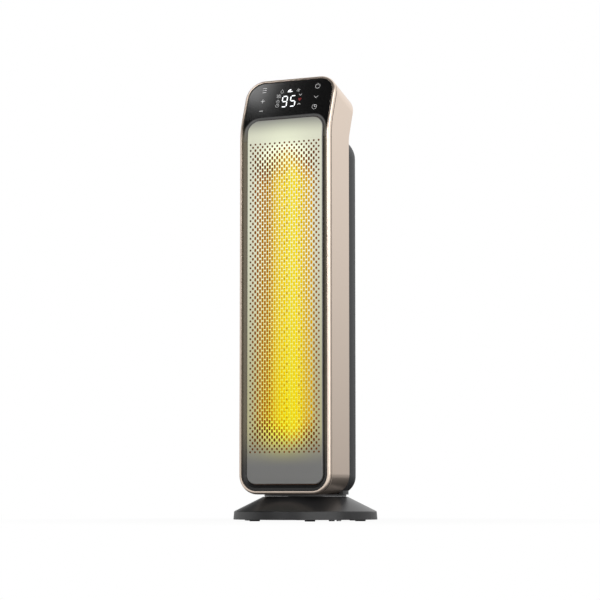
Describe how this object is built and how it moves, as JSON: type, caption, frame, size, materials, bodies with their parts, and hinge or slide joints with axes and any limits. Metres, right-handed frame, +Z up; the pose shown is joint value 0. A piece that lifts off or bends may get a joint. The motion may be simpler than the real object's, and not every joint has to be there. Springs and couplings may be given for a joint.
{
  "type": "tower space heater",
  "caption": "Free-standing tower fan heater: round base, swinging champagne-edged tower, graded slotted grille, bent-back touch panel and half-round black rear cover.",
  "frame": {"origin": "on the floor under the axis of the swing", "axes": "+Z up, the front grille faces -Y, +X to the right of someone who looks at the front"},
  "size_m": [0.198, 0.198, 0.6089],
  "materials": {
    "black_matte": "fine moulded texture",
    "black_gloss": "polished",
    "champagne": "satin anodised, champagne",
    "grille_metal": "satin painted sheet",
    "dark_steel": "black painted sheet",
    "steel": "plated",
    "rubber": "moulded",
    "pale_plastic": "moulded",
    "ceramic": "heat-proof moulding",
    "glow": "hot element",
    "fin_metal": "thin corrugated sheet",
    "board": "solder mask",
    "mesh_cloth": "fine mesh"
  },
  "bodies": {
    "base": {"base_shell": "black_matte", "base_plate": "dark_steel", "rubber_feet": "rubber", "base_screws": "steel", "slide_ring": "pale_plastic", "cord_gland": "rubber", "tip_switch": "black_matte", "swing_motor": "steel", "motor_screws": "steel"},
    "plunger": {"tip_plunger": "pale_plastic"},
    "pinion": {"swing_pinion": "pale_plastic"},
    "tower": {"turntable": "black_matte", "swing_gear": "pale_plastic", "gear_clip": "steel", "side_band": "champagne", "front_trim": "champagne", "front_bezel": "black_gloss", "control_panel": "black_gloss", "front_frame": "black_matte", "grille": "grille_metal", "chassis": "black_matte", "chassis_screws": "steel", "lower_deck": "black_matte", "upper_deck": "black_matte", "heater_frame": "pale_plastic", "scroll_wall": "black_matte", "tongue_wall": "black_matte", "thermal_cutout": "steel", "fan_bush": "rubber", "blower_motor": "steel", "heater_holders": "ceramic", "ptc_bars": "glow", "fin_stacks": "fin_metal", "main_board": "board", "board_parts": "black_matte", "display_board": "board", "rear_cover": "black_matte", "head_cover": "black_matte"},
    "fan": {"fan_wheel": "black_matte", "fan_shaft": "steel"},
    "intake": {"filter_panel": "black_matte", "dust_filter": "mesh_cloth"}
  },
  "joints": [
    {"name": "tower_swing", "type": "hinge", "parent": "base", "child": "tower", "pos_m": [0, 0, 0], "axis": [0, 0, 1], "range_deg": [-35, 35]},
    {"name": "pinion_spin", "type": "hinge", "parent": "base", "child": "pinion", "pos_m": [-0.0376, 0, 0], "axis": [0, 0, 1], "range_deg": [-140, 140]},
    {"name": "plunger_drop", "type": "slide", "parent": "base", "child": "plunger", "axis": [0, 0, 1], "range_m": [-0.004, 0]},
    {"name": "fan_spin", "type": "hinge", "parent": "tower", "child": "fan", "pos_m": [0, 0.014, 0], "axis": [0, 0, 1], "continuous": true},
    {"name": "intake_pull", "type": "slide", "parent": "tower", "child": "intake", "axis": [0, 1, 0], "range_m": [0, 0.03]}
  ],
  "couplings": [
    {"joint": "pinion_spin", "follows": "tower_swing", "ratio": -4}
  ]
}
